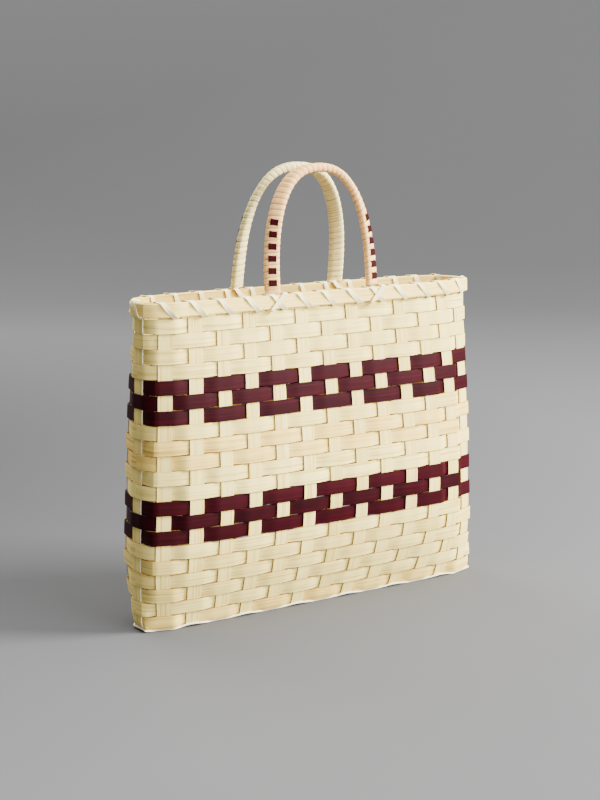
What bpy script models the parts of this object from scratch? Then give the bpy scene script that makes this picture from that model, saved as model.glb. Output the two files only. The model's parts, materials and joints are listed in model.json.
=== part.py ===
"""A laptop case plaited from flat bamboo splints, with a hooped rim and two arched handles.

Metres, +Z up. The origin is on the floor at the middle of the base, the front faces -Y and +X is to
the right. Every splint of the wall is a strip of its own: upright stakes that turn under the base,
and closed weaver rings that pass outside one stake and inside the next, a row at a time. The wall's
outline is a superellipse at each of a few heights, and all strips follow straight lines between
those heights, so the layers stay parallel and keep their clearance.
"""

import math
from collections import namedtuple

import bpy
import numpy as np
from mathutils import Vector

# Overall size of the woven wall, at the middle of its thickness
BODY_WIDTH = 0.385
BODY_DEPTH = 0.096

# Splints of the wall
STAKE_WIDTH = 0.0140
STAKE_THICKNESS = 0.0012
WEAVER_WIDTH = 0.0132
WEAVER_THICKNESS = 0.0012
ROW_COUNT = 21
FRONT_STAKE_COUNT = 13

# Clearances: between pieces, between layers of the weave, and from a stake's edge to a weaver's bend
CLEARANCE = 0.0003
WEAVE_CLEARANCE = 0.0004
BEND_MARGIN = 0.0005

# Rim
LASHING_SLOT = 0.0012
HOOP_HEIGHT = 0.0130
OUTER_HOOP_THICKNESS = 0.0036
INNER_HOOP_THICKNESS = 0.0028

# Handles, each on the stakes this many places either side of the middle one
HANDLE_STAKE_REACH = 2
HANDLE_RISE = 0.1155
HANDLE_FOOT_WIDTH = 0.0145
HANDLE_FOOT_THICKNESS = 0.0070
HANDLE_TOP_WIDTH = 0.0118
HANDLE_TOP_THICKNESS = 0.0080
HANDLE_ROUNDNESS = 3.0
HANDLE_FOOT_TURN = math.radians(20)
HANDLE_TURN_POWER = 1.3
HANDLE_STATIONS = 11
HANDLE_SIDES = 8
TANG_WIDTH = 0.0120
TANG_THICKNESS = 0.0012
HANDLE_SHARP_ANGLE = math.radians(50)

# Places of the stakes, as shares of half the girth from the middle of the left end
END_STAKE_SHARE = 0.019
FIRST_STAKE_SHARE = 0.087

# Base
BASE_STRIP_WIDTH = 0.0140
BASE_CORNER_RUN = 0.0045

# The outline at each height. height is a share of the wall, taken to the nearest whole row, width
# and depth are shares of the overall size, and squareness is the superellipse's exponent.
Section = namedtuple("Section", "height width depth squareness")
SECTIONS = (
    Section(height=0.00, width=0.998, depth=0.480, squareness=9.0),
    Section(height=0.19, width=1.000, depth=0.865, squareness=4.9),
    Section(height=0.38, width=0.994, depth=1.000, squareness=3.8),
    Section(height=0.67, width=0.979, depth=0.860, squareness=4.6),
    Section(height=1.00, width=0.963, depth=0.590, squareness=6.5),
)
OUTLINE_SAMPLES = 1441

# Rows of another colour, counted from the rim down
BURGUNDY_ROWS = (5, 6, 7, 13, 14, 15)
GOLDEN_ROWS = (9, 10, 21)

# Worked out from the sizes above
ROW_PITCH = WEAVER_WIDTH + CLEARANCE
LAYER_PITCH = STAKE_THICKNESS + CLEARANCE
WALL_FOOT = LAYER_PITCH
WALL_TOP = WALL_FOOT + ROW_COUNT * ROW_PITCH
HOOP_FOOT = WALL_TOP + LASHING_SLOT
RIM_TOP = HOOP_FOOT + HOOP_HEIGHT
WEAVE_OFFSET = (STAKE_THICKNESS + WEAVER_THICKNESS) / 2 + WEAVE_CLEARANCE
MIDDLE_STAKE = (FRONT_STAKE_COUNT + 1) // 2
HANDLE_STAKES = (MIDDLE_STAKE - HANDLE_STAKE_REACH, MIDDLE_STAKE + HANDLE_STAKE_REACH)
RIGHT_END = FRONT_STAKE_COUNT + 1
UPRIGHT_COUNT = 2 * RIGHT_END

# One upright's place: its middle at each section, and the directions along and out of its face
Station = namedtuple("Station", "middles along out")


def section_heights():
    """Heights of the sections: the base's corner, whole rows of the wall, and the rim's top."""
    rows = [round(section.height * ROW_COUNT) for section in SECTIONS[1:-1]]
    return [STAKE_THICKNESS / 2, *(WALL_FOOT + row * ROW_PITCH for row in rows), RIM_TOP]


def half_outline(section):
    """Points and running lengths from the left end's middle, round the front, to the right end's."""
    turn = np.linspace(0, math.pi, OUTLINE_SAMPLES)
    power = 2 / section.squareness
    x = -np.sign(np.cos(turn)) * np.abs(np.cos(turn)) ** power * section.width * BODY_WIDTH / 2
    y = -np.abs(np.sin(turn)) ** power * section.depth * BODY_DEPTH / 2
    lengths = np.concatenate([[0], np.cumsum(np.hypot(np.diff(x), np.diff(y)))])
    return x, y, lengths


def outline_point(outline, length):
    """A point of the outline, which carries on round the back where the length is below zero."""
    x, y, lengths = outline
    side = -1 if length < 0 else 1
    reach = abs(length)
    return np.array([np.interp(reach, lengths, x), side * np.interp(reach, lengths, y)])


def stake_share(number):
    """Where the left end's stake (0) or a front stake stands, as a share of half the girth."""
    if number == 0:
        return END_STAKE_SHARE
    pitch = (1 - 2 * FIRST_STAKE_SHARE) / (FRONT_STAKE_COUNT - 1)
    return FIRST_STAKE_SHARE + (number - 1) * pitch


def front_station(number):
    """An upright of the left end or the front. A stiff splint keeps one facing all the way up."""
    middles = []
    along = np.zeros(2)
    for section in SECTIONS:
        outline = half_outline(section)
        length = stake_share(number) * outline[2][-1]
        face = outline_point(outline, length + STAKE_WIDTH / 2)
        face -= outline_point(outline, length - STAKE_WIDTH / 2)
        middles.append(outline_point(outline, length))
        along += face / np.linalg.norm(face)
    along /= np.linalg.norm(along)
    return Station(np.array(middles), along, np.array([along[1], -along[0]]))


def mirrored(station, flip_x, flip_y):
    """The same upright across a plane, its face still read the same way round the wall."""
    flip = np.array([flip_x, flip_y])
    return Station(station.middles * flip, station.along * flip * flip_x * flip_y, station.out * flip)


def wall_stations():
    """Every upright, from the left end along the front to the right end, and back behind."""
    left_end = front_station(0)
    front = [front_station(number) for number in range(1, RIGHT_END)]
    right_end = mirrored(left_end, -1, 1)
    back = [mirrored(station, 1, -1) for station in reversed(front)]
    return [left_end, *front, right_end, *back]


HEIGHTS = section_heights()
STATIONS = wall_stations()


def back_of(number):
    """The upright behind a front one."""
    return UPRIGHT_COUNT - number


def wall_point(number, height, along=0.0, out=0.0):
    """A point at an upright, some way along its face and out of the middle of the wall."""
    station = STATIONS[number]
    flat = [np.interp(height, HEIGHTS, station.middles[:, axis]) for axis in (0, 1)]
    flat = np.array(flat) + along * station.along + out * station.out
    return Vector((flat[0], flat[1], height))


def plain_material(name, colour, roughness):
    made = bpy.data.materials.new(name)
    made.use_nodes = True
    shader = made.node_tree.nodes["Principled BSDF"]
    shader.inputs["Base Color"].default_value = (*colour, 1.0)
    shader.inputs["Roughness"].default_value = roughness
    shader.inputs["Metallic"].default_value = 0.0
    made.diffuse_color = (*colour, 1.0)
    return made


def add_piece(case, name, points, faces, finish):
    """A mesh object under the case's empty, with its origin at the middle of its own foot."""
    corners = np.array([tuple(point) for point in points])
    low = corners.min(axis=0)
    high = corners.max(axis=0)
    origin = np.array([(low[0] + high[0]) / 2, (low[1] + high[1]) / 2, low[2]])
    mesh = bpy.data.meshes.new(name)
    mesh.from_pydata((corners - origin).tolist(), [], faces)
    mesh.materials.append(finish)
    made = bpy.data.objects.new(name, mesh)
    made.location = origin
    made.parent = case
    case.users_collection[0].objects.link(made)
    return made


def loft_faces(ring_count, sides, closed=False):
    """Faces between rings of points of equal count, with a cap on each end unless it is closed."""
    faces = []
    for ring in range(ring_count if closed else ring_count - 1):
        near = ring * sides
        far = (ring + 1) % ring_count * sides
        for side in range(sides):
            after = (side + 1) % sides
            faces.append((near + side, near + after, far + after, far + side))
    if not closed:
        last = (ring_count - 1) * sides
        faces.append(tuple(reversed(range(sides))))
        faces.append(tuple(range(last, last + sides)))
    return faces


def add_strip(case, name, rings, finish, closed=False):
    """A flat strip through rings of four corners."""
    points = [point for ring in rings for point in ring]
    return add_piece(case, name, points, loft_faces(len(rings), 4, closed), finish)


def bends(first, last):
    """Where a band bends, before and after each upright of a run: (upright, place along its face)."""
    reach = STAKE_WIDTH / 2 + BEND_MARGIN
    return [(number % UPRIGHT_COUNT, side * reach) for number in range(first, last + 1) for side in (-1, 1)]


def band_rings(places, foot, top, thickness, out_at):
    """Rings of a band that runs along the wall at the distance out_at gives for each upright. Its
    thickness lies level, so that it shares no height with the band above it."""
    rings = []
    for number, along in places:
        inner = out_at(number) - thickness / 2
        outer = out_at(number) + thickness / 2
        corners = ((foot, inner), (top, inner), (top, outer), (foot, outer))
        rings.append([wall_point(number, height, along, out) for height, out in corners])
    return rings


def add_weaver(case, row, finish):
    """One closed row, counted from the rim, outside the wall's middle at every other upright."""
    foot = WALL_FOOT + (ROW_COUNT - row) * ROW_PITCH + CLEARANCE / 2

    def out_at(number):
        return WEAVE_OFFSET if (number + row) % 2 == 0 else -WEAVE_OFFSET

    places = bends(0, UPRIGHT_COUNT - 1)
    rings = band_rings(places, foot, foot + WEAVER_WIDTH, WEAVER_THICKNESS, out_at)
    return add_strip(case, f"weaver_row_{row:02d}", rings, finish, closed=True)


def hoop_rings(places, side, thickness):
    """Rings of a flat hoop outside (side 1) or inside (side -1) the stakes' tops."""
    out = side * (STAKE_THICKNESS / 2 + CLEARANCE + thickness / 2)
    return band_rings(places, HOOP_FOOT, RIM_TOP, thickness, lambda number: out)


def add_outer_hoop(case, finish):
    places = bends(0, UPRIGHT_COUNT - 1)
    rings = hoop_rings(places, 1, OUTER_HOOP_THICKNESS)
    return add_strip(case, "outer_hoop", rings, finish, closed=True)


def add_inner_hoop(case, finish):
    """The inner hoop in four lengths that butt beside the corners' stakes: two bent ends, and two
    long sides that stop a clearance short of them."""
    past_bend = STAKE_WIDTH / 2 + BEND_MARGIN + CLEARANCE

    def long_side(first, last):
        return [(first, past_bend), *bends(first + 1, last - 1), (last, -past_bend)]

    lengths = {
        "left_end": bends(-1, 1),
        "front": long_side(1, RIGHT_END - 1),
        "right_end": bends(RIGHT_END - 1, RIGHT_END + 1),
        "back": long_side(RIGHT_END + 1, UPRIGHT_COUNT - 1),
    }
    for place, places in lengths.items():
        rings = hoop_rings(places, -1, INNER_HOOP_THICKNESS)
        add_strip(case, f"inner_hoop_{place}", rings, finish)


def upright_rings(number, top, rising):
    """Rings of a stake on one wall, from its mitred corner at the base to its top, or the other way
    where it comes down. The corner's outer edge lies on the floor."""
    half = STAKE_THICKNESS / 2
    levels = [(STAKE_THICKNESS, 0.0)]
    levels += [(height, height) for height in HEIGHTS[1:] if height < top]
    levels.append((top, top))
    first = STAKE_WIDTH / 2 if rising else -STAKE_WIDTH / 2
    rings = []
    for inner_height, outer_height in levels:
        corners = (
            (inner_height, first, -half),
            (inner_height, -first, -half),
            (outer_height, -first, half),
            (outer_height, first, half),
        )
        rings.append([wall_point(number, *corner) for corner in corners])
    return rings if rising else rings[::-1]


def stake_top(number):
    """A stake ends between the hoops, or below them where a handle's tang takes its place."""
    return HOOP_FOOT - CLEARANCE if number in HANDLE_STAKES else RIM_TOP - CLEARANCE


def add_stake(case, number, finish):
    """One splint down the front, under the base and up the back."""
    top = stake_top(number)
    rings = upright_rings(number, top, False) + upright_rings(back_of(number), top, True)
    return add_strip(case, f"stake_{number:02d}", rings, finish)


def lengthwise_ring(x, front, back, foot):
    """A ring of a splint that runs along the base."""
    top = foot + STAKE_THICKNESS
    corners = ((back, top), (front, top), (front, foot), (back, foot))
    return [Vector((x, y, z)) for y, z in corners]


def base_reach():
    """How far out the outermost front stake reaches at the base."""
    return -wall_point(1, 0.0, -STAKE_WIDTH / 2).x + CLEARANCE


def add_end_stake(case, finish):
    """The lengthwise splint: up both narrow ends, and along the base on top of the other stakes."""
    top = RIM_TOP - CLEARANCE
    left = upright_rings(0, top, False)
    right = upright_rings(RIGHT_END, top, True)
    edges = [point.y for point in left[-1]]
    flat_end = wall_point(0, 0.0).x + BASE_CORNER_RUN
    places = ((flat_end, 0.0), (-base_reach(), LAYER_PITCH), (base_reach(), LAYER_PITCH), (-flat_end, 0.0))
    run = [lengthwise_ring(x, min(edges), max(edges), foot) for x, foot in places]
    return add_strip(case, "end_stake", left + run + right, finish)


def add_base_strip(case, finish):
    """The second lengthwise splint of the base, beside the end stake's run."""
    front = wall_point(0, 0.0, -STAKE_WIDTH / 2).y + CLEARANCE
    back = front + BASE_STRIP_WIDTH
    rings = [lengthwise_ring(x, front, back, LAYER_PITCH) for x in (-base_reach(), base_reach())]
    return add_strip(case, "base_strip", rings, finish)


def oval_ring(middle, wide, thick, width, thickness):
    """A flat oval's corners round a point, wide along one direction and thick along the other."""
    corners = []
    for side in range(HANDLE_SIDES):
        turn = 2 * math.pi * (side + 0.5) / HANDLE_SIDES
        reach = width / 2 * math.cos(turn) / math.cos(math.pi / HANDLE_SIDES)
        depth = thickness / 2 * math.sin(turn) / math.cos(math.pi / HANDLE_SIDES)
        corners.append(middle + wide * reach + thick * depth)
    return corners


def handle_frame(feet):
    """A handle's plane, in line with the leaning wall: the middle between its seats on the hoops,
    and the directions across, up and outward."""
    left, right = (wall_point(number, RIM_TOP) for number in feet)
    rise = (left - wall_point(feet[0], HOOP_FOOT)).normalized()
    across = (right - left).normalized()
    outward = rise.cross(across)
    outward *= math.copysign(1, outward.y * left.y)
    lean_drop = (HANDLE_FOOT_THICKNESS + INNER_HOOP_THICKNESS) / 2 * abs(rise.y)
    return (left + right) / 2 + rise * (CLEARANCE + lean_drop), across, rise, outward


def arch_ring(feet, step):
    """A section of the arch: flat against the wall at the feet, turned flat for the hand on top."""
    middle, across, rise, outward = handle_frame(feet)
    span = abs(STATIONS[feet[0]].middles[-1][0])
    turn = math.pi * step / (HANDLE_STATIONS - 1)
    reach = math.copysign(abs(math.cos(turn)) ** (2 / HANDLE_ROUNDNESS), -math.cos(turn))
    lift = abs(math.sin(turn)) ** (2 / HANDLE_ROUNDNESS)
    slope_across = math.copysign(abs(reach) ** (HANDLE_ROUNDNESS - 1), reach) / span
    slope_up = lift ** (HANDLE_ROUNDNESS - 1) / HANDLE_RISE
    radial = (across * slope_across + rise * slope_up).normalized()
    forward = radial.cross(across.cross(rise))
    share = 1 - abs(1 - 2 * step / (HANDLE_STATIONS - 1))
    face_turn = HANDLE_FOOT_TURN + (math.pi / 2 - HANDLE_FOOT_TURN) * share**HANDLE_TURN_POWER
    facing = outward * math.cos(face_turn) + radial * math.sin(face_turn)
    width = HANDLE_FOOT_WIDTH + (HANDLE_TOP_WIDTH - HANDLE_FOOT_WIDTH) * share
    thickness = HANDLE_FOOT_THICKNESS + (HANDLE_TOP_THICKNESS - HANDLE_FOOT_THICKNESS) * share
    point = middle + across * reach * span + rise * lift * HANDLE_RISE
    return oval_ring(point, facing.cross(forward), facing, width, thickness)


def tang_rings(feet, foot):
    """The thin end of a handle that goes down between the hoops: its foot, then its shoulder."""
    middle, across, rise, outward = handle_frame(feet)
    span = abs(STATIONS[feet[0]].middles[-1][0])
    side = 1 if foot else -1
    wide = outward.cross(rise) * -side
    shoulder = middle + across * span * side
    low = wall_point(feet[foot], HOOP_FOOT)
    return [oval_ring(point, wide, outward, TANG_WIDTH, TANG_THICKNESS) for point in (low, shoulder)]


def add_handle(case, name, feet, finish):
    rings = tang_rings(feet, 0)
    rings += [arch_ring(feet, step) for step in range(HANDLE_STATIONS)]
    rings += tang_rings(feet, 1)[::-1]
    points = [point for ring in rings for point in ring]
    made = add_piece(case, name, points, loft_faces(len(rings), HANDLE_SIDES), finish)
    made.data.shade_smooth()
    made.data.set_sharp_from_angle(angle=HANDLE_SHARP_ANGLE)
    return made


def build():
    for old in list(bpy.data.objects):
        bpy.data.objects.remove(old, do_unlink=True)
    parts = bpy.data.collections.new("laptop_case")
    bpy.context.scene.collection.children.link(parts)
    case = bpy.data.objects.new("case_frame", None)
    parts.objects.link(case)

    cream = plain_material("splint_cream", (0.80, 0.72, 0.52), 0.55)
    burgundy = plain_material("splint_burgundy", (0.13, 0.006, 0.02), 0.50)
    golden = plain_material("splint_golden", (0.78, 0.66, 0.38), 0.55)
    band = plain_material("rim_band", (0.76, 0.62, 0.42), 0.55)
    peach = plain_material("handle_peach", (0.80, 0.54, 0.33), 0.5)
    pale = plain_material("handle_pale", (0.68, 0.60, 0.40), 0.5)

    for row in range(1, ROW_COUNT + 1):
        finish = burgundy if row in BURGUNDY_ROWS else golden if row in GOLDEN_ROWS else cream
        add_weaver(case, row, finish)
    for number in range(1, RIGHT_END):
        add_stake(case, number, cream)
    add_end_stake(case, cream)
    add_base_strip(case, cream)
    add_outer_hoop(case, band)
    add_inner_hoop(case, band)
    add_handle(case, "handle_front", HANDLE_STAKES, peach)
    add_handle(case, "handle_back", [back_of(number) for number in HANDLE_STAKES], pale)


build()
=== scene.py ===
"""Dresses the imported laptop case: every splint of the plaiting, the hoops and their lashing, the wound
handles and the studio round it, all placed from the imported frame. Metres, +Z up, the front faces -Y."""

import json
import math
import random

import bpy
import numpy as np
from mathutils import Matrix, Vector


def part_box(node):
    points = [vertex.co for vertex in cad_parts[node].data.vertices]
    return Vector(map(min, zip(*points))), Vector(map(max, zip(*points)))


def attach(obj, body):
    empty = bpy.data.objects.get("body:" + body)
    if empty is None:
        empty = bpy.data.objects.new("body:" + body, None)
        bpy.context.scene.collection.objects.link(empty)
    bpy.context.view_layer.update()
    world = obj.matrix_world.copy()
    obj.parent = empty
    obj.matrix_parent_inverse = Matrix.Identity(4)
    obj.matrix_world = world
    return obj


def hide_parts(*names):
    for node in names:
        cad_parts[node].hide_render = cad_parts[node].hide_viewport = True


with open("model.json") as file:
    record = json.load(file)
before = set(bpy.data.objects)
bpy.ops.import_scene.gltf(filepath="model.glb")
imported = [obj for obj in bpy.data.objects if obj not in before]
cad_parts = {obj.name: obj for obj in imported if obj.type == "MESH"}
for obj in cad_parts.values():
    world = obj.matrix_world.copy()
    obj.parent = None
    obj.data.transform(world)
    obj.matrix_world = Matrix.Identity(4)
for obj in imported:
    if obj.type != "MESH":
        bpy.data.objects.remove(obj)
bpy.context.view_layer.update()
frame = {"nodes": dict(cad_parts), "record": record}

bl_info = {
    "name": "Plaited laptop case",
    "version": (1, 0, 0),
    "blender": (4, 5, 0),
    "location": "3D View > Sidebar > Laptop case",
    "description": "Plaits a bamboo laptop case with a lashed rim and wound handles round its packed frame",
    "category": "Add Mesh",
}

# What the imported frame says
WEAVERS = sorted(name for name in frame["nodes"] if name.startswith("weaver_row_"))
STAKES = sorted(name for name in frame["nodes"] if name.startswith("stake_"))
SLOTS = {part["node"]: part["material_slot"] for part in frame["record"]["subparts"]}
RIGHT_END = len(STAKES) + 1
UPRIGHT_COUNT = 2 * RIGHT_END
ROW_COUNT = len(WEAVERS)
WALL_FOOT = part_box(WEAVERS[-1])[0].z
WALL_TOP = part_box(WEAVERS[0])[1].z
ROW_PITCH = (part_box(WEAVERS[0])[0].z - WALL_FOOT) / (ROW_COUNT - 1)
HOOP_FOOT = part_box("outer_hoop")[0].z
RIM_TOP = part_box("outer_hoop")[1].z
LAYER_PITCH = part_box("base_strip")[0].z
LAYER_GAP = 0.0003
STAKE_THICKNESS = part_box("stake_07")[0].z + LAYER_PITCH - LAYER_GAP

# Corners of an upright's solid below this height belong to the base
BASE_LEVEL = 0.005

# The rim, in distances out of the wall's middle: half the gap between the hoops, their thickness,
# and the inner and outer face that a bare strand goes round
HALF_HOOP_GAP = 0.0009
OUTER_HOOP_THICKNESS = 0.0034
INNER_HOOP_THICKNESS = 0.0026
STRAND_INSIDE = -0.0037
STRAND_OUTSIDE = 0.0045
STRAND_SQUARENESS = 12

# Lengths that only the grain's scale needs
BASE_GIRTH = 0.9
RIM_GIRTH = 0.86
BINDING_TURN = 0.036
CORE_GIRTH = 0.034

GRAIN_MAP = "grain"
TONE = "tone"


class CaseSizes(bpy.types.PropertyGroup):
    """Sizes of the splints and strands."""

    stake_width: bpy.props.FloatProperty(
        name="Stake width", description="Width of an upright splint", default=0.0138, unit="LENGTH"
    )
    splint_thickness: bpy.props.FloatProperty(
        name="Splint thickness",
        description="Thickness of the wall's splints",
        default=0.0011,
        unit="LENGTH",
    )
    weaver_swing: bpy.props.FloatProperty(
        name="Weaver swing",
        description="How far a weaver moves out over a stake",
        default=0.00125,
        unit="LENGTH",
    )
    stake_swing: bpy.props.FloatProperty(
        name="Stake swing",
        description="How far a stake moves out over a weaver",
        default=0.0002,
        unit="LENGTH",
    )
    front_fold: bpy.props.FloatProperty(
        name="Front fold",
        description="Size of the stakes' turn under the base",
        default=0.0045,
        unit="LENGTH",
    )
    end_fold: bpy.props.FloatProperty(
        name="End fold",
        description="Size of the end stake's turn under the base",
        default=0.0100,
        unit="LENGTH",
    )
    lashing_width: bpy.props.FloatProperty(
        name="Lashing width",
        description="Width of the strip that binds the rim",
        default=0.0046,
        unit="LENGTH",
    )
    lashing_thickness: bpy.props.FloatProperty(
        name="Lashing thickness", description="Thickness of that strip", default=0.0006, unit="LENGTH"
    )
    lashing_slant: bpy.props.FloatProperty(
        name="Lashing slant", description="Share of a turn's advance made on the outer face", default=0.70
    )
    binding_pitch: bpy.props.FloatProperty(
        name="Binding pitch",
        description="Advance of one turn of a handle's binding",
        default=0.0055,
        unit="LENGTH",
    )
    binding_crown: bpy.props.FloatProperty(
        name="Binding crown",
        description="How far the binding swells between its edges",
        default=0.00030,
        unit="LENGTH",
    )
    handle_roundness: bpy.props.FloatProperty(
        name="Handle roundness", description="Exponent of the arch, 2 for an ellipse", default=2.5
    )
    foot_turn: bpy.props.FloatProperty(
        name="Foot turn",
        description="Turn of a handle's flat face at its feet",
        default=math.radians(20),
        subtype="ANGLE",
    )


def colour_property(name, description, default):
    return bpy.props.FloatVectorProperty(
        name=name, description=description, default=default, size=3, subtype="COLOR", min=0, max=1
    )


class CaseColours(bpy.types.PropertyGroup):
    """Colours of the splints and strands."""

    cream: colour_property("Cream", "Plain splints", (0.94, 0.73, 0.205))
    golden: colour_property("Golden", "Yellower rows", (0.90, 0.63, 0.150))
    burgundy: colour_property("Burgundy", "Dyed rows and the handles' squares", (0.026, 0.0001, 0.0022))
    # Painted shade: a dark brown for the edges of the weavers and of all stakes but the end one, standing for
    # the shade along them.
    edge: colour_property("Edge", "Shaded edges of splints", (0.22, 0.12, 0.04))
    cut: colour_property("Cut edge", "Fresh cut edges of splints", (0.96, 0.87, 0.62))
    band: colour_property("Rim band", "The hoops", (0.92, 0.67, 0.17))
    lashing: colour_property("Lashing", "Rim lashing and foot ties", (0.94, 0.80, 0.38))
    peach: colour_property("Peach", "Front handle's binding", (0.96, 0.55, 0.19))
    pale: colour_property("Pale", "Back handle's binding", (0.84, 0.70, 0.28))
    # Painted shade: the core is painted dark so that the gaps between the binding's turns show as shaded
    # grooves.
    core: colour_property("Core", "Handles' core between the turns of the binding", (0.30, 0.17, 0.07))
    studio: colour_property("Studio", "Studio floor and wall", (0.112, 0.112, 0.113))
    sky: colour_property("Sky", "Light from above the studio", (0.55, 0.56, 0.58))


def sizes():
    return bpy.context.scene.case_sizes


def colours():
    return bpy.context.scene.case_colours


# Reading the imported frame


def corners_of(node):
    """The different corners of a CAD node."""
    found = np.array([tuple(vertex.co) for vertex in frame["nodes"][node].data.vertices])
    return np.unique(np.round(found, 5), axis=0)


class Upright:
    """One upright read from its CAD node: its middle at a few heights, and the directions along and
    out of its face."""

    def __init__(self, node, axis, side):
        corners = corners_of(node)
        corners = corners[side * corners[:, axis] > 0]
        foot = corners[corners[:, 2] < LAYER_PITCH]
        foot = foot[np.argsort(-side * foot[:, axis])][:4]
        levels = [foot]
        for height in np.unique(np.round(corners[:, 2], 4)):
            level = corners[np.abs(corners[:, 2] - height) < 1e-4]
            if height > BASE_LEVEL and len(level) >= 4:
                levels.append(level)
        self.heights = np.array([level[:, 2].mean() for level in levels])
        self.middles = np.array([level[:, :2].mean(axis=0) for level in levels])
        spread = levels[-1][:, :2] - levels[-1][:, :2].mean(axis=0)
        self.along = np.linalg.svd(spread)[2][0]
        out = np.array([self.along[1], -self.along[0]])
        if out @ self.middles[-1] < 0:
            self.along, out = -self.along, -out
        self.out = out

    def at(self, height):
        """Its middle on the straight line through the two levels round a height."""
        place = np.clip(np.searchsorted(self.heights, height), 1, len(self.heights) - 1)
        low, high = self.heights[place - 1], self.heights[place]
        share = (height - low) / (high - low)
        return self.middles[place - 1] + (self.middles[place] - self.middles[place - 1]) * share


def read_uprights():
    """Every upright, from the left end along the front to the right end, and back behind."""
    front = [Upright(node, 1, -1) for node in STAKES]
    back = [Upright(node, 1, 1) for node in reversed(STAKES)]
    return [Upright("end_stake", 0, -1), *front, Upright("end_stake", 0, 1), *back]


UPRIGHTS = read_uprights()
LEVELS = np.array([*UPRIGHTS[1].heights[:-1], RIM_TOP])
# The photographed ends are softer than the solids': what each upright near an end moves in, by x and y
END_EASE = {
    RIGHT_END - 2: (0.0025, 0.0018),
    RIGHT_END - 1: (0.0062, 0.0052),
    RIGHT_END: (0.0080, 0),
    RIGHT_END + 1: (0.0062, 0.0052),
    RIGHT_END + 2: (0.0020, 0.0015),
    UPRIGHT_COUNT - 2: (0.0005, 0.0010),
    UPRIGHT_COUNT - 1: (0.0022, 0.0037),
}
# The height from which that move is whole, and its share at the foot
EASE_HEIGHT = 0.06
EASE_AT_FOOT = 0.15


def eased_middles():
    """Middles of every upright at the levels, with the ends moved in."""
    middles = np.array([[upright.at(level) for level in LEVELS] for upright in UPRIGHTS])
    share = np.clip(LEVELS / EASE_HEIGHT, EASE_AT_FOOT, 1)[:, None]
    for number, moved in END_EASE.items():
        middles[number] -= np.sign(middles[number]) * share * moved
    return middles


MIDDLES = eased_middles()
SLOPES = np.gradient(MIDDLES, LEVELS, axis=1)
ALONG = np.array([upright.along for upright in UPRIGHTS])
OUT = np.array([upright.out for upright in UPRIGHTS])


def hermite(start, end, start_slope, end_slope, share):
    """A smooth cubic between two values with given slopes, and its slope."""
    square, cube = share**2, share**3
    value = start * (2 * cube - 3 * square + 1) + start_slope * (cube - 2 * square + share)
    value = value + end * (3 * square - 2 * cube) + end_slope * (cube - square)
    slope = (start - end) * (6 * square - 6 * share) + start_slope * (3 * square - 4 * share + 1)
    slope = slope + end_slope * (3 * square - 2 * share)
    return value, slope


def upright_middles(numbers, heights):
    """Middles of uprights at heights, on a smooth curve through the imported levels."""
    heights = np.asarray(heights, float)
    level = np.clip(np.searchsorted(LEVELS, heights) - 1, 0, len(LEVELS) - 2)
    span = (LEVELS[level + 1] - LEVELS[level])[:, None]
    share = (heights[:, None] - LEVELS[level][:, None]) / span
    slopes = SLOPES[numbers, level] * span, SLOPES[numbers, level + 1] * span
    return hermite(MIDDLES[numbers, level], MIDDLES[numbers, level + 1], *slopes, share)[0]


def folds(out):
    """Size of the turn under the base where the wall faces out."""
    return sizes().front_fold + (sizes().end_fold - sizes().front_fold) * out[..., 0] ** 6


def tuck(fold, heights):
    """How far the wall has drawn in where it turns under the base."""
    share = np.clip((heights - STAKE_THICKNESS / 2) / fold, 0, 1)
    return fold * (1 - np.sqrt(share)) ** 2


def swells(spans, heights):
    """How full the wall is between uprights: the four spans at the ends are nearly straight, but for
    the front left one, which fills out towards the foot."""
    ends = np.isin(spans, (RIGHT_END - 1, RIGHT_END, UPRIGHT_COUNT - 1))
    return np.select([spans == 0, ends], [np.clip(1.2 - heights / 0.09, 0.7, 1.2), 0.2], 0.9)


def wall_places(stations, heights, outs):
    """Points of the wall at fractional upright numbers, at heights and distances out of its middle.
    The wall is flat over each stake and bends between them."""
    stations = np.asarray(stations, float) % UPRIGHT_COUNT
    before = np.floor(stations).astype(int) % UPRIGHT_COUNT
    after = (before + 1) % UPRIGHT_COUNT
    start, end = upright_middles(before, heights), upright_middles(after, heights)
    chord = np.linalg.norm(end - start, axis=1)[:, None]
    share, half = (stations - np.floor(stations))[:, None], sizes().stake_width / 2
    share_held = np.clip((share - half / chord) / (1 - 2 * half / chord), 0, 1)
    first, last = start + ALONG[before] * half, end - ALONG[after] * half
    pull = np.linalg.norm(last - first, axis=1)[:, None] * swells(before, heights)[:, None]
    place, slope = hermite(first, last, ALONG[before] * pull, ALONG[after] * pull, share_held)
    place += ALONG[before] * np.minimum(share * chord - half, 0)
    place += ALONG[after] * np.maximum(half - (1 - share) * chord, 0)
    slope /= np.linalg.norm(slope, axis=1)[:, None]
    out = np.stack([slope[:, 1], -slope[:, 0]], axis=1)
    place += out * (outs - tuck(folds(out), heights))[:, None]
    return np.column_stack([place, heights])


def wobble(places, amount, dice, waves=(1, 2, 3, 5, 8)):
    """A small smooth unevenness that closes after one turn of the wall."""
    total = np.zeros_like(places)
    for wave in waves:
        turn = dice.uniform(0, 2 * math.pi)
        total += np.sin(2 * math.pi * wave * places / UPRIGHT_COUNT + turn) * dice.uniform(0.4, 1)
    return total * amount / len(waves)


# Making pieces


def alone(obj):
    """Selects one object and nothing else."""
    bpy.ops.object.select_all(action="DESELECT")
    obj.select_set(True)
    bpy.context.view_layer.objects.active = obj


def apply_modifier(piece, kind, **settings):
    modifier = piece.modifiers.new(kind.title(), kind)
    for name, value in settings.items():
        setattr(modifier, name, value)
    bpy.ops.object.modifier_apply(modifier=modifier.name)


def merge_doubles(distance=1e-6):
    bpy.ops.object.mode_set(mode="EDIT")
    bpy.ops.mesh.select_all(action="SELECT")
    bpy.ops.mesh.remove_doubles(threshold=distance)
    bpy.ops.object.mode_set(mode="OBJECT")


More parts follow.
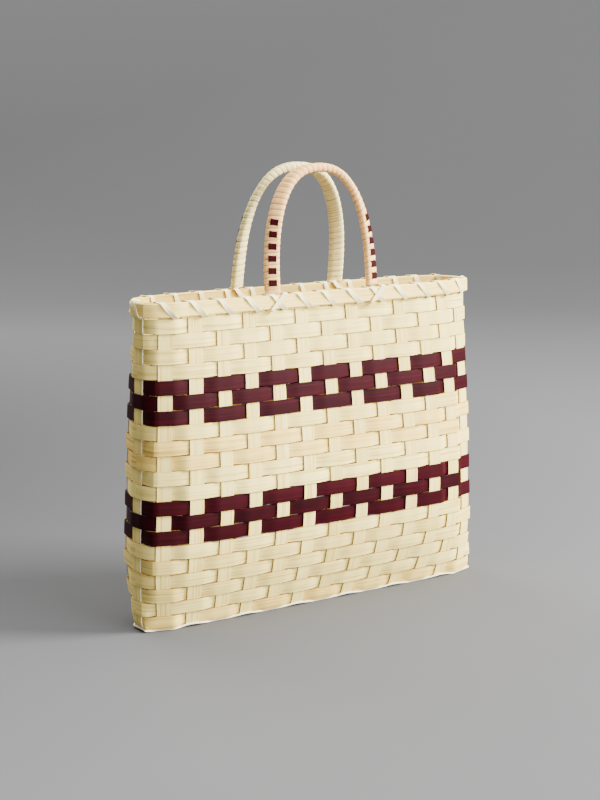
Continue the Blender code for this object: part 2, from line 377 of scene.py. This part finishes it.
def set_tone(piece, tone):
    """Gives a piece the shade that its finish reads."""
    mesh = piece.data
    tones = mesh.attributes.new(TONE, "FLOAT", "POINT")
    tones.data.foreach_set("value", np.full(len(mesh.vertices), tone, np.float32))


def lay_strip(name, length, width, counts, place, thickness, finishes, dice, closed=False, ease=0.0002):
    """A flat splint: a grid of steps by lanes, each point laid where place says, then given its
    thickness, with cut edges in the second finish, and eased edges."""
    bpy.ops.object.select_all(action="DESELECT")
    bpy.ops.mesh.primitive_grid_add(x_subdivisions=counts[0], y_subdivisions=counts[1], size=1)
    piece = bpy.context.object
    piece.name = piece.data.name = name
    mesh = piece.data
    flat = np.empty(len(mesh.vertices) * 3)
    mesh.vertices.foreach_get("co", flat)
    flat = flat.reshape(-1, 3)[:, :2] + 0.5
    mesh.vertices.foreach_set("co", place(flat[:, 0], flat[:, 1]).ravel())
    grain = mesh.uv_layers.active
    grain.name = GRAIN_MAP
    spread = np.empty(len(mesh.loops) * 2)
    grain.uv.foreach_get("vector", spread)
    spread = spread.reshape(-1, 2) * (length, width) + (dice.uniform(0, 9), dice.uniform(0, 9))
    grain.uv.foreach_set("vector", spread.ravel())
    set_tone(piece, dice.random())
    for material in finishes:
        mesh.materials.append(material)
    if closed:
        merge_doubles()
    apply_modifier(
        piece, "SOLIDIFY", thickness=thickness, offset=0, material_offset_rim=len(finishes) - 1
    )
    if ease:
        apply_modifier(
            piece, "BEVEL", width=ease, segments=1, limit_method="ANGLE", angle_limit=math.radians(55)
        )
    bpy.ops.object.shade_smooth_by_angle(angle=math.radians(24))
    return piece


def hand_over(piece, node=None):
    """Fixes a piece to the case, in a CAD node's place where it stands for one."""
    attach(piece, "root")
    if node:
        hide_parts(node)


# Finishes

# Share of each colour part left in dark streaks, and its lift in pale fibres
DARK_WARMTH = (1.0, 0.86, 0.62)
PALE_LIFT = (1.08, 1.12, 1.3)


class Socket:
    """A node's output that takes part in sums."""

    def __init__(self, finish, output):
        self.finish, self.output = finish, output

    def maths(self, operation, *values):
        return self.finish.node("ShaderNodeMath", {"operation": operation}, dict(enumerate(values)))

    def __add__(self, other):
        return self.maths("ADD", self, other)

    def __sub__(self, other):
        return self.maths("SUBTRACT", self, other)

    def __mul__(self, other):
        return self.maths("MULTIPLY", self, other)

    def within(self, low, high):
        """This value's share of the way from low to high, kept between 0 and 1."""
        settings = {"clamp": True}
        inputs = {"Value": self, "From Min": low, "From Max": high}
        return self.finish.node("ShaderNodeMapRange", settings, inputs)


class Finish:
    """A material and the nodes that paint it."""

    def __init__(self, name):
        self.material = bpy.data.materials.new(f"{name}_finish")
        self.material.use_nodes = True
        self.tree = self.material.node_tree
        self.shader = self.tree.nodes["Principled BSDF"]

    def node(self, kind, settings=None, inputs=None, output=0):
        """Adds a node, with its settings first and then its sockets' values or links."""
        made = self.tree.nodes.new(kind)
        for name, value in (settings or {}).items():
            setattr(made, name, value)
        for name, value in (inputs or {}).items():
            if isinstance(value, Socket):
                self.tree.links.new(value.output, made.inputs[name])
            else:
                made.inputs[name].default_value = value
        return Socket(self, made.outputs[output])

    def mix(self, start, end, factor, way="MIX"):
        """A colour between two others."""
        start, end = (value if isinstance(value, Socket) else (*value, 1) for value in (start, end))
        settings = {"data_type": "RGBA", "blend_type": way, "clamp_factor": True}
        return self.node("ShaderNodeMix", settings, {0: factor, 6: start, 7: end}, output=2)

    def grain(self, lengthwise, crosswise, detail=2.0, shift=0.0):
        """Noise stretched along the splint, in cycles a metre."""
        along = self.node("ShaderNodeUVMap", {"uv_map": GRAIN_MAP})
        inputs = {"Vector": along, "Scale": (lengthwise, crosswise, 1), "Location": (shift, shift, shift)}
        placed = self.node("ShaderNodeMapping", None, inputs)
        return self.node("ShaderNodeTexNoise", None, {"Vector": placed, "Scale": 1.0, "Detail": detail})

    def tone(self):
        return self.node("ShaderNodeAttribute", {"attribute_name": TONE}, output="Fac")

    def relief(self, height, distance):
        """Raises the surface where height is high."""
        normal = self.node("ShaderNodeBump", None, {"Height": height, "Distance": distance, "Strength": 1.0})
        self.tree.links.new(normal.output, self.shader.inputs["Normal"])

    def paint(self, colour, roughness, specular=0.1):
        self.shader.inputs["Specular IOR Level"].default_value = specular
        for name, value in (("Base Color", colour), ("Roughness", roughness)):
            if isinstance(value, Socket):
                self.tree.links.new(value.output, self.shader.inputs[name])
            else:
                self.shader.inputs[name].default_value = value


def shade(colour, factor):
    return tuple(min(1.0, part * factor) for part in colour)


def bamboo(name, colour, contrast=1.0):
    """Split bamboo: fine pale and dark fibres along the splint, slow drifts of tone, and each
    splint a shade of its own."""
    finish = Finish(name)
    fibres = finish.grain(16, 900, 3.0)
    streaks = finish.grain(7, 330, 2.0, 3.1)
    drift = finish.grain(22, 40, 1.0, 7.7)
    lines = finish.grain(9, 620, 1.0, 5.3).within(0.60, 0.70)
    dark = tuple(part * kept for part, kept in zip(shade(colour, 0.66), DARK_WARMTH))
    pale = tuple(min(1.0, part * lift) for part, lift in zip(colour, PALE_LIFT))
    body = finish.mix(dark, pale, finish.tone() * 0.35 + drift * 0.5 + 0.3)
    body = finish.mix(body, dark, streaks.within(0.50, 0.76) * 0.75 * contrast)
    body = finish.mix(body, pale, fibres.within(0.52, 0.70) * 0.5 * contrast)
    body = finish.mix(body, dark, lines * 0.8 * contrast)
    finish.relief(fibres + streaks * 0.8, 0.00025)
    finish.paint(body, fibres * 0.2 + 0.55)


def dyed(name, colour):
    """Dyed splint: a dark red with brighter lengthwise streaks and a satin skin."""
    finish = Finish(name)
    fibres = finish.grain(16, 900, 3.0)
    streaks = finish.grain(8, 420, 2.0, 3.1)
    drift = finish.grain(18, 30, 1.0, 7.7)
    bright = (min(1.0, colour[0] * 2.5), colour[1] * 2.2, colour[2] * 2.4)
    body = finish.mix(shade(colour, 0.55), shade(colour, 1.35), finish.tone() * 0.5 + drift * 0.6 - 0.05)
    body = finish.mix(body, bright, streaks.within(0.50, 0.82) * 0.6)
    body = finish.mix(body, shade(colour, 0.35), fibres.within(0.54, 0.74) * 0.6)
    finish.relief(fibres + streaks, 0.00012)
    finish.paint(body, fibres * 0.2 + 0.45, 0.08)


def cut_edge(name, colour):
    """Plain bamboo: a splint's edge or pith side, or a handle's core. Its dark colours are painted shade, on
    the splints' edges and in the grooves of the handles' binding.
    """
    finish = Finish(name)
    fibres = finish.grain(60, 1500, 1.0)
    finish.paint(finish.mix(shade(colour, 0.9), shade(colour, 1.1), fibres), 0.6)


def make_finishes():
    """Makes every finish, under the name of the record's slot where it has one."""
    bamboo("splint_cream", colours().cream)
    bamboo("splint_golden", colours().golden, 1.2)
    dyed("splint_burgundy", colours().burgundy)
    bamboo("rim_band", colours().band, 0.7)
    bamboo("handle_peach", colours().peach, 0.8)
    bamboo("handle_pale", colours().pale, 0.8)
    bamboo("lashing", colours().lashing, 0.5)
    cut_edge("cut_edge", colours().cut)
    # The next two finishes are painted shade: the edges of the plain and of the burgundy splints, darkened.
    cut_edge("splint_edge_shade", colours().edge)
    dyed("burgundy_edge_shade", shade(colours().burgundy, 0.6))
    # The handles' core: painted shade for the grooves of the binding.
    cut_edge("handle_core_shade", colours().core)


def finish(name):
    return bpy.data.materials[f"{name}_finish"]


# Sorts of splint

# Heights from which a stake's line has finer steps, and from which its swing fades towards the foot
TURN_TOP = 0.02
FLAT_BELOW = 0.012


def weaver_place(row, low, width, dice):
    """Where each point of a weaver lies. Rows are counted from the rim, and the lowest are looser."""
    swing = sizes().weaver_swing
    half = sizes().stake_width / 2
    loose = 1.0 if row > 15 else 0.35
    clearance, pinched, tipped, crown = 0.0004, 0.0005, 0.0002, 0.00012

    def place(along, across):
        stations = along * UPRIGHT_COUNT
        heights = np.full_like(along, low + width / 2)
        before = np.floor(stations).astype(int) % UPRIGHT_COUNT
        after = (before + 1) % UPRIGHT_COUNT
        gap = upright_middles(after, heights) - upright_middles(before, heights)
        reach = (half + clearance) / np.linalg.norm(gap, axis=1)
        share = np.clip((stations - np.floor(stations) - reach) / (1 - 2 * reach), 0, 1)
        start = np.where((before + row) % 2 == 0, 1.0, -1.0)
        ease = 3 * share**2 - 2 * share**3
        side = start * (1 - 2 * ease)
        pinch = loose * pinched * (1 - side)
        heights = low + width / 2 + (across - 0.5) * (width - pinch)
        heights += wobble(stations, 0.00035, random.Random(row)) + tipped * loose * side
        outs = side * swing + crown * (1 - (2 * across - 1) ** 2)
        outs = outs + wobble(stations, 0.0002, random.Random(row + 50))
        return wall_places(stations, heights, outs)

    return place


class LAPTOPCASE_OT_weavers(bpy.types.Operator):
    """Plaits the closed rows of weavers"""

    bl_idname = "laptopcase.weavers"
    bl_label = "Weavers"

    def execute(self, context):
        girth = np.linalg.norm(np.roll(MIDDLES[:, 2], -1, axis=0) - MIDDLES[:, 2], axis=1).sum()
        for row, node in enumerate(WEAVERS, 1):
            low, high = (corner.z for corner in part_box(node))
            dice = random.Random(100 + row * 7)
            width = high - low
            piece = lay_strip(
                f"plaited_{node}", girth, width, (UPRIGHT_COUNT * 12, 4), weaver_place(row, low, width, dice),
                sizes().splint_thickness, (finish(SLOTS[node]), finish(edge_of(node))), dice, closed=True,
            )
            hand_over(piece, node)
        return {"FINISHED"}


# Weavers' edges get painted shade: dark brown, or dark burgundy on the burgundy rows.
def edge_of(node):
    return "burgundy_edge_shade" if SLOTS[node] == "splint_burgundy" else "splint_edge_shade"


def stake_line(number, top, floor):
    """Middles of a stake from the rim down to the end of its turn under the base."""
    fold = folds(OUT[number])
    heights = np.linspace(top, TURN_TOP, 160)
    heights = np.concatenate([heights, TURN_TOP * np.linspace(1, 0, 40)[1:] ** 2])
    heights = np.maximum(heights, floor)
    middles = upright_middles(np.full(len(heights), number), heights)
    rows = (WALL_TOP - heights) / ROW_PITCH + 0.5
    swing = -sizes().stake_swing * np.cos(math.pi * (rows + number))
    swing = np.where(heights > WALL_TOP, 0, swing) * np.clip(heights / FLAT_BELOW, 0, 1)
    middles = middles + OUT[number] * (swing - tuck(fold, heights))[:, None]
    kept = np.concatenate([[True], np.diff(heights) < 0])
    return np.column_stack([middles, heights])[kept]


def lengths_along(line):
    """A line's length up to each of its points."""
    return np.concatenate([[0], np.cumsum(np.linalg.norm(np.diff(line, axis=0), axis=1))])


def read_along(at, lengths, rows):
    """Rows of three values, given at lengths, read at others."""
    return np.column_stack([np.interp(at, lengths, rows[:, axis]) for axis in range(3)])


def along_line(line, shares):
    """Points at shares of a line's length."""
    lengths = lengths_along(line)
    return read_along(shares * lengths[-1], lengths, line)


def length_of(line):
    return np.linalg.norm(np.diff(line, axis=0), axis=1).sum()


def add_upright_splint(node, first, last, floor, number):
    """A splint down one wall, along the base and up the opposite wall."""
    dice = random.Random(200 + number)
    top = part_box(node)[1].z
    down, up = stake_line(first, top, floor), stake_line(last, top, floor)[::-1]
    line = np.concatenate([down, up])
    length = length_of(line)
    turn_in, turn_out = length_of(down) / length, 1 - length_of(up) / length
    across_down, across_up = np.append(ALONG[first], 0), np.append(-ALONG[last], 0)
    width = sizes().stake_width * dice.uniform(0.97, 1.03)
    twist = dice.uniform(-1, 1) * 0.0003

    def place(along, across):
        turned = np.clip((along - turn_in) / (turn_out - turn_in), 0, 1)[:, None]
        direction = across_down * (1 - turned) + across_up * turned
        direction /= np.linalg.norm(direction, axis=1)[:, None]
        uneven = wobble(along * UPRIGHT_COUNT * 0.9, 0.0005, random.Random(number + 70)) + twist
        offset = (across - 0.5) * width + uneven
        return along_line(line, along) + direction * offset[:, None]

    steps = int(length / 0.0026)
    # Every stake's edges but the end one's are painted shade. The end stake keeps pale cut edges.
    piece = lay_strip(
        f"plaited_{node}", length, width, (steps, 4), place, sizes().splint_thickness,
        (finish(SLOTS[node]), finish("splint_edge_shade" if number else "cut_edge")), dice,
    )
    hand_over(piece, node)


class LAPTOPCASE_OT_stakes(bpy.types.Operator):
    """Sets the upright splints, which turn under the base"""

    bl_idname = "laptopcase.stakes"
    bl_label = "Stakes"

    def execute(self, context):
        for number, node in enumerate(STAKES, 1):
            add_upright_splint(node, number, UPRIGHT_COUNT - number, STAKE_THICKNESS / 2, number)
        return {"FINISHED"}


class LAPTOPCASE_OT_base(bpy.types.Operator):
    """Lays the lengthwise splints of the base and the strand along its edge"""

    bl_idname = "laptopcase.base"
    bl_label = "Base"

    def execute(self, context):
        add_upright_splint("end_stake", 0, RIGHT_END, LAYER_PITCH + STAKE_THICKNESS / 2, 0)
        low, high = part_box("base_strip")
        dice = random.Random(300)

        def along_base(along, across):
            x = high.x + (low.x - high.x) * along
            y = low.y + (high.y - low.y) * across
            bow = 0.0001 * np.cos(along * 13 * 2 * math.pi)
            return np.column_stack([x, y, np.full_like(x, (low.z + high.z) / 2) + bow])

        piece = lay_strip(
            "plaited_base_strip", high.x - low.x, high.y - low.y, (90, 3), along_base,
            sizes().splint_thickness, (finish("splint_cream"), finish("cut_edge")), dice,
        )
        hand_over(piece, "base_strip")
        self.add_edge_strand()
        return {"FINISHED"}

    def add_edge_strand(self):
        """A pale strand that rises over every other stake's foot, all round the base."""
        width, thickness = 0.0016, 0.0013
        foot, rise, out = 0.0008, 0.0020, 0.0019

        def place(along, across):
            stations = along * UPRIGHT_COUNT
            lift = 0.5 + 0.5 * np.cos(math.pi * (stations + ROW_COUNT + 1))
            heights = foot + rise * lift**1.5
            return wall_places(stations, heights, out + width * (0.5 - across))

        piece = lay_strip(
            "base_edge_strand", BASE_GIRTH, width, (UPRIGHT_COUNT * 10, 2), place, thickness,
            (finish("cut_edge"),), random.Random(310), closed=True,
        )
        hand_over(piece)


class LAPTOPCASE_OT_hoops(bpy.types.Operator):
    """Bends the two hoops of the rim"""

    bl_idname = "laptopcase.hoops"
    bl_label = "Hoops"

    def execute(self, context):
        self.add_hoop("rim_outer_hoop", ["outer_hoop"], 1, OUTER_HOOP_THICKNESS, 400)
        inner = sorted(name for name in frame["nodes"] if name.startswith("inner_hoop"))
        self.add_hoop("rim_inner_hoop", inner, -1, INNER_HOOP_THICKNESS, 410)
        return {"FINISHED"}

    def add_hoop(self, name, nodes, side, thickness, seed):
        """A closed hoop on the wall's outer side, 1, or its inner side, -1."""
        out = side * (HALF_HOOP_GAP + thickness / 2)

        def place(along, across):
            stations = along * UPRIGHT_COUNT
            heights = HOOP_FOOT + (RIM_TOP - HOOP_FOOT) * across
            heights += wobble(stations, 0.0003, random.Random(seed + 5))
            outs = out + wobble(stations, 0.0002, random.Random(seed + 6))
            return wall_places(stations, heights, outs)

        piece = lay_strip(
            name, RIM_GIRTH, RIM_TOP - HOOP_FOOT, (UPRIGHT_COUNT * 8, 4), place, thickness,
            (finish("rim_band"),), random.Random(seed), closed=True, ease=0.0009,
        )
        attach(piece, "root")
        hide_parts(*nodes)


def squared(values, exponent):
    """Cosines or sines of a circle, made those of an oval of that exponent, where 2 is a circle."""
    return np.sign(values) * np.abs(values) ** (2 / exponent)


def rim_section(turns, gap):
    """Distance out and height of a strand round the rim's section, evenly along its length. A turn
    goes down the outer face from the top, under the hoops and up the inner face."""
    inner, outer = STRAND_INSIDE - gap, STRAND_OUTSIDE + gap
    low, high = HOOP_FOOT - gap, RIM_TOP + gap
    angles = math.pi / 2 - np.linspace(0, 2 * math.pi, 4001)
    outs = (inner + outer) / 2 + (outer - inner) / 2 * squared(np.cos(angles), STRAND_SQUARENESS)
    heights = (low + high) / 2 + (high - low) / 2 * squared(np.sin(angles), STRAND_SQUARENESS)
    lengths = np.concatenate([[0], np.cumsum(np.hypot(np.diff(outs), np.diff(heights)))])
    at = (turns % 1) * lengths[-1]
    return np.interp(at, lengths, outs), np.interp(at, lengths, heights)


def lashing_advance(turns, slant):
    """Advance in uprights: a share of each turn on the outer face, the rest on the inner one."""
    whole, part = np.floor(turns), turns - np.floor(turns)
    outer = np.clip(part / 0.5, 0, 1)
    inner = np.clip((part - 0.5) / 0.5, 0, 1)
    return whole + slant * outer + (1 - slant) * inner


def wrap_strip(name, line, width, thickness, material, dice, steps, inside_point, closed=False):
    """A strip along a line that keeps its flat side off a body, whose middle inside_point gives."""
    tangent = np.gradient(line, axis=0)
    if closed:
        tangent[0] = tangent[-1] = line[1] - line[-2]
    tangent /= np.linalg.norm(tangent, axis=1)[:, None]
    away = line - inside_point
    away -= (away * tangent).sum(axis=1)[:, None] * tangent
    away /= np.linalg.norm(away, axis=1)[:, None]
    sideways = np.cross(away, tangent)
    lengths = lengths_along(line)

    def place(along, across):
        at = along * lengths[-1]
        middle, side, off = (read_along(at, lengths, rows) for rows in (line, sideways, away))
        crown = 0.18 * thickness * (1 - (2 * across - 1) ** 2)
        return middle + side * ((across - 0.5) * width)[:, None] + off * crown[:, None]

    return lay_strip(
        name, lengths[-1], width, (steps, 3), place, thickness, (material,), dice, closed=closed, ease=0.00015
    )


def rim_line(turns, advance, gap):
    """Points of a strand round the rim, and the middle of the rim beside each."""
    outs, heights = rim_section(turns, gap)
    line = wall_places(advance, heights, outs)
    middle_height = np.full_like(heights, (HOOP_FOOT + RIM_TOP) / 2)
    middle = wall_places(advance, middle_height, np.full_like(outs, (STRAND_INSIDE + STRAND_OUTSIDE) / 2))
    share, most = 0.55, 0.003
    middle[:, 2] += np.clip((heights - middle_height) * share, -most, most)
    return line, middle


class LAPTOPCASE_OT_lashing(bpy.types.Operator):
    """Lashes the hoops with one pale strip, a turn to each stake, and ties each handle's feet"""

    bl_idname = "laptopcase.lashing"
    bl_label = "Lashing"

    def execute(self, context):
        gap = sizes().lashing_thickness * 0.5 + 0.0001
        ahead = 0.30
        turns = np.linspace(0, UPRIGHT_COUNT, UPRIGHT_COUNT * 60 + 1)
        uneven = wobble(np.floor(turns), 0.05, random.Random(5)) * np.sin(math.pi * (turns % 1)) ** 2
        advance = lashing_advance(turns, sizes().lashing_slant) - ahead + uneven
        line, middle = rim_line(turns, advance, gap)
        piece = wrap_strip(
            "rim_lashing", line, sizes().lashing_width, sizes().lashing_thickness, finish("lashing"),
            random.Random(500), UPRIGHT_COUNT * 28, middle, closed=True,
        )
        hand_over(piece)
        for number in handle_feet("handle_front") + handle_feet("handle_back"):
            self.add_foot_tie(number)
        return {"FINISHED"}

    def add_foot_tie(self, number):
        """A strip that crosses the lashing at a handle's foot, slanting the other way."""
        turns = np.linspace(0, 1, 121)
        gap = sizes().lashing_thickness * 1.9
        sway = 0.5 - 0.5 * np.cos(2 * math.pi * turns)
        advance = number + 0.36 - 0.66 * sway
        line, middle = rim_line(turns, advance, gap)
        piece = wrap_strip(
            f"foot_tie_{number:02d}", line, sizes().lashing_width * 0.95, sizes().lashing_thickness,
            finish("lashing"), random.Random(520 + number), 72, middle, closed=True,
        )
        hand_over(piece)


# Handles


def handle_feet(node):
    """The two uprights that a handle stands on."""
    low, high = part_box(node)
    side = -1 if (low + high).y < 0 else 1
    half_leg = 0.007
    reach = (high.x - low.x) / 2 - half_leg
    rows = [number for number in range(UPRIGHT_COUNT) if MIDDLES[number, -1, 1] * side > 0]
    return [min(rows, key=lambda number: abs(MIDDLES[number, -1, 0] - x)) for x in (-reach, reach)]


class Arch:
    """A handle's bent core: flat against the wall at its feet and turned flat for the hand on top."""

    foot_width, foot_thickness = 0.0138, 0.0064
    top_width, top_thickness = 0.0110, 0.0074
    squareness = 2.7
    front_shift, back_shift = -0.0020, -0.0048
    lift, crown_inset = 0.0008, 0.0070

    def __init__(self, node):
        self.feet = handle_feet(node)
        left, right = (Vector((*MIDDLES[number, -1], RIM_TOP)) for number in self.feet)
        low = Vector((*UPRIGHTS[self.feet[0]].at(HOOP_FOOT), HOOP_FOOT))
        self.rise = np.array((left - low).normalized())
        self.across = np.array((right - left).normalized())
        outward = np.cross(self.rise, self.across)
        self.outward = outward * math.copysign(1, outward[1] * left.y)
        shift = self.front_shift if left.y < 0 else self.back_shift
        self.middle = np.array((left + right) / 2) + self.rise * self.lift + self.across * shift
        self.span = (right - left).length / 2
        self.height = (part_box(node)[1].z - self.middle[2]) / self.rise[2] - self.crown_inset
        self.turns = np.linspace(0, math.pi, 2001)
        self.line = self.points(self.turns)
        self.lengths = lengths_along(self.line)
        self.length = self.lengths[-1]

    def points(self, turns):
        reach = -squared(np.cos(turns), sizes().handle_roundness) * self.span
        lift = np.abs(squared(np.sin(turns), sizes().handle_roundness)) * self.height
        return self.middle + self.across * reach[:, None] + self.rise * lift[:, None]

    def frame(self, places):
        """Middle, wide direction, facing direction, width and thickness at lengths along the arch."""
        places = np.clip(places, 0, self.length)
        turns = np.interp(places, self.lengths, self.turns)
        middle = read_along(places, self.lengths, self.line)
        near, far = np.clip(places - 0.001, 0, None), np.clip(places + 0.001, None, self.length)
        forward = read_along(far, self.lengths, self.line) - read_along(near, self.lengths, self.line)
        forward /= np.linalg.norm(forward, axis=1)[:, None]
        radial = np.cross(np.cross(self.across, self.rise), forward)
        share = 1 - np.abs(1 - 2 * turns / math.pi)
        turned = sizes().foot_turn + (math.pi / 2 - sizes().foot_turn) * share**1.3
        facing = self.outward * np.cos(turned)[:, None] + radial * np.sin(turned)[:, None]
        wide = np.cross(facing, forward)
        width = self.foot_width + (self.top_width - self.foot_width) * share
        thickness = self.foot_thickness + (self.top_thickness - self.foot_thickness) * share
        return middle, wide, facing, width, thickness

    def skin(self, places, angles, raised):
        """Points round the oval section. Angle 0 is its wide end, and a quarter turn its face."""
        middle, wide, facing, width, thickness = self.frame(places)
        reach = squared(np.cos(angles), self.squareness) * (width / 2 + raised)
        depth = squared(np.sin(angles), self.squareness) * (thickness / 2 + raised)
        return middle + wide * reach[:, None] + facing * depth[:, None]


class LAPTOPCASE_OT_handles(bpy.types.Operator):
    """Winds both handles and weaves the burgundy strip into each leg"""

    bl_idname = "laptopcase.handles"
    bl_label = "Handles"

    def execute(self, context):
        for node, seed in (("handle_front", 600), ("handle_back", 650)):
            arch = Arch(node)
            self.add_core(node, arch, random.Random(seed + 5))
            self.add_binding(node, arch, random.Random(seed))
            for leg in (0, 1):
                self.add_squares(node, arch, leg, random.Random(seed + 10 + leg))
        return {"FINISHED"}

    def add_core(self, node, arch, dice):
        """The bent core under the binding, in a dark finish that is painted shade in the grooves between the
        turns.
        """

        def place(along, across):
            return arch.skin(along * arch.length, -2 * math.pi * across, np.full_like(along, -0.0005))

        piece = lay_strip(
            f"{node}_core", arch.length, CORE_GIRTH, (90, 16), place, 0.0004,
            (finish("handle_core_shade"),), dice, closed=True, ease=0,
        )
        hand_over(piece, node)

    def add_binding(self, node, arch, dice):
        """One narrow splint wound from foot to foot."""
        pitch = sizes().binding_pitch
        turns = round(arch.length / pitch)
        pitch = arch.length / turns
        crown = sizes().binding_crown

        def place(along, across):
            turn = along * turns
            places = (turn - 0.5 + across * 0.91) * pitch
            uneven = wobble(turn, 0.0004, random.Random(turns), (3, 7, 13, 29))
            swell = crown * (1 - np.abs(2 * across - 1) ** 2.4)
            return arch.skin(places + uneven * pitch * 100, 2 * math.pi * turn, swell)

        piece = lay_strip(
            f"{node}_binding", turns * BINDING_TURN, pitch, (turns * 26, 5), place, 0.0005,
            (finish(SLOTS[node]),), dice, ease=0,
        )
        hand_over(piece)

    def add_squares(self, node, arch, leg, dice):
        """A burgundy strip along the leg's face, over and under the binding by turns."""
        width, spacing, first, count = 0.0074, 0.0110, 0.0096, 6
        swing, lift = 0.0006, 0.00025
        start, end = first - spacing / 2, first + spacing * (count - 0.5)

        def place(along, across):
            run = start + (end - start) * along
            wave = np.cos(2 * math.pi * (run - first) / spacing)
            raised = np.clip(wave * 4, -1, 1) * swing + lift
            places = run if leg == 0 else arch.length - run
            middle, wide, facing, _, thickness = arch.frame(places)
            side = (across - 0.5) * width * (1 if leg == 0 else -1)
            depth = thickness / 2 + raised
            return middle + wide * side[:, None] + facing * depth[:, None]

        piece = lay_strip(
            f"{node}_squares_{'left' if leg == 0 else 'right'}", end - start, width, (96, 3), place,
            0.0005, (finish("splint_burgundy"),), dice, ease=0.0001,
        )
        hand_over(piece)


class LAPTOPCASE_OT_stage(bpy.types.Operator):
    """Sets the floor, the lights and the camera"""

    bl_idname = "laptopcase.stage"
    bl_label = "Stage"

    def execute(self, context):
        self.add_studio()
        self.add_lights(context)
        self.add_camera(context)
        return {"FINISHED"}

    def add_studio(self):
        """A level floor that turns up into a round wall, without an edge, with painted light on the wall and
        a painted shadow on the floor.
        """
        bpy.ops.object.select_all(action="DESELECT")
        bpy.ops.mesh.primitive_grid_add(x_subdivisions=96, y_subdivisions=48, size=1)
        studio = bpy.context.object
        studio.name = studio.data.name = "studio_floor"
        flat, bend, height = 2.3, 2.2, 2.5
        for vertex in studio.data.vertices:
            turn = -2 * math.pi * (vertex.co.x + 0.5)
            run = (vertex.co.y + 0.5) * (flat + bend * math.pi / 2 + height)
            angle = min(max((run - flat) / bend, 0), math.pi / 2)
            radius = min(run, flat) + bend * math.sin(angle)
            climb = bend * (1 - math.cos(angle)) + max(run - flat - bend * math.pi / 2, 0)
            vertex.co = (radius * math.cos(turn), radius * math.sin(turn), climb)
        alone(studio)
        merge_doubles()
        made = Finish("studio_floor")
        place = made.node("ShaderNodeTexCoord", output="Object")
        speckle = made.node("ShaderNodeTexNoise", None, {"Vector": place, "Scale": 3.0, "Detail": 2.0})
        even = made.mix(shade(colours().studio, 0.98), shade(colours().studio, 1.02), speckle)
        # Painted light: the wall is painted lighter as it climbs, up to about twice the floor's colour.
        parts = made.node("ShaderNodeSeparateXYZ", None, {"Vector": place}, output=2)
        wall = made.mix(even, shade(colours().studio, 2.1), parts.within(0.05, 1.6))
        # Painted shadow: a dark patch on the floor behind and left of the case, darkest round this point and
        # gone beyond about a metre and a quarter.
        painted_shadow_middle = (-0.35, 0.95, 0)
        ends = {0: place, 1: painted_shadow_middle}
        painted_shadow_distance = made.node("ShaderNodeVectorMath", {"operation": "DISTANCE"}, ends, 1)
        colour = made.mix(shade(colours().studio, 0.38), wall, painted_shadow_distance.within(0.1, 1.25))
        made.paint(colour, 0.8)
        studio.data.materials.append(made.material)
        bpy.ops.object.shade_smooth()

    def add_lights(self, context):
        world = bpy.data.worlds.new("studio")
        world.use_nodes = True
        background = world.node_tree.nodes["Background"]
        background.inputs["Color"].default_value = (*colours().sky, 1)
        background.inputs["Strength"].default_value = 1.0
        context.scene.world = world
        lamps = (
            ("key_light", (2.05, -1.45, 1.65), 1.1, 440),
            ("fill_light", (0.55, -2.3, 0.75), 1.5, 80),
            ("top_light", (0.1, -0.1, 2.7), 1.8, 90),
            ("back_light", (-0.2, 2.1, 1.7), 1.6, 80),
        )
        for name, place, size, power in lamps:
            bpy.ops.object.light_add(type="AREA", location=place)
            lamp = context.object
            lamp.name = name
            lamp.data.size = size
            lamp.data.energy = power
            aim = Vector((0, 0, 0.18)) - Vector(place)
            lamp.rotation_euler = aim.to_track_quat("-Z", "Y").to_euler()

    def add_camera(self, context):
        """The photograph's viewpoint: front left and a little above."""
        yaw, pitch = math.radians(34.57), math.radians(10.15)
        distance, focal_pixels, frame_height, sensor = 1.6749, 1763.7, 800, 36.0
        aim = Vector((-0.0085, 0.0, 0.1926))
        view = Vector((math.sin(yaw) * math.cos(pitch), math.cos(yaw) * math.cos(pitch), -math.sin(pitch)))
        bpy.ops.object.camera_add(location=aim - view * distance)
        camera = context.object
        camera.name = "studio_camera"
        camera.rotation_euler = view.to_track_quat("-Z", "Y").to_euler()
        camera.data.sensor_width = sensor
        camera.data.lens = focal_pixels / frame_height * sensor
        camera.data.clip_start, camera.data.clip_end = 0.05, 100
        context.scene.camera = camera


class LAPTOPCASE_PT_panel(bpy.types.Panel):
    """Lists the steps that make the case"""

    bl_label = "Laptop case"
    bl_idname = "LAPTOPCASE_PT_panel"
    bl_space_type = "VIEW_3D"
    bl_region_type = "UI"
    bl_category = "Laptop case"

    def draw(self, context):
        for operator in OPERATORS:
            self.layout.operator(operator.bl_idname)
        for group in (context.scene.case_sizes, context.scene.case_colours):
            for name in group.__annotations__:
                self.layout.prop(group, name)


GROUPS = (CaseSizes, CaseColours)
OPERATORS = (
    LAPTOPCASE_OT_weavers,
    LAPTOPCASE_OT_stakes,
    LAPTOPCASE_OT_base,
    LAPTOPCASE_OT_hoops,
    LAPTOPCASE_OT_lashing,
    LAPTOPCASE_OT_handles,
    LAPTOPCASE_OT_stage,
)


def register():
    for entry in (*GROUPS, *OPERATORS, LAPTOPCASE_PT_panel):
        bpy.utils.register_class(entry)
    bpy.types.Scene.case_sizes = bpy.props.PointerProperty(type=CaseSizes)
    bpy.types.Scene.case_colours = bpy.props.PointerProperty(type=CaseColours)


def unregister():
    del bpy.types.Scene.case_colours
    del bpy.types.Scene.case_sizes
    for entry in reversed((*GROUPS, *OPERATORS, LAPTOPCASE_PT_panel)):
        bpy.utils.unregister_class(entry)


def main():
    register()
    make_finishes()
    for operator in OPERATORS:
        group, name = operator.bl_idname.split(".")
        getattr(getattr(bpy.ops, group), name)()


if __name__ == "__main__":
    main()
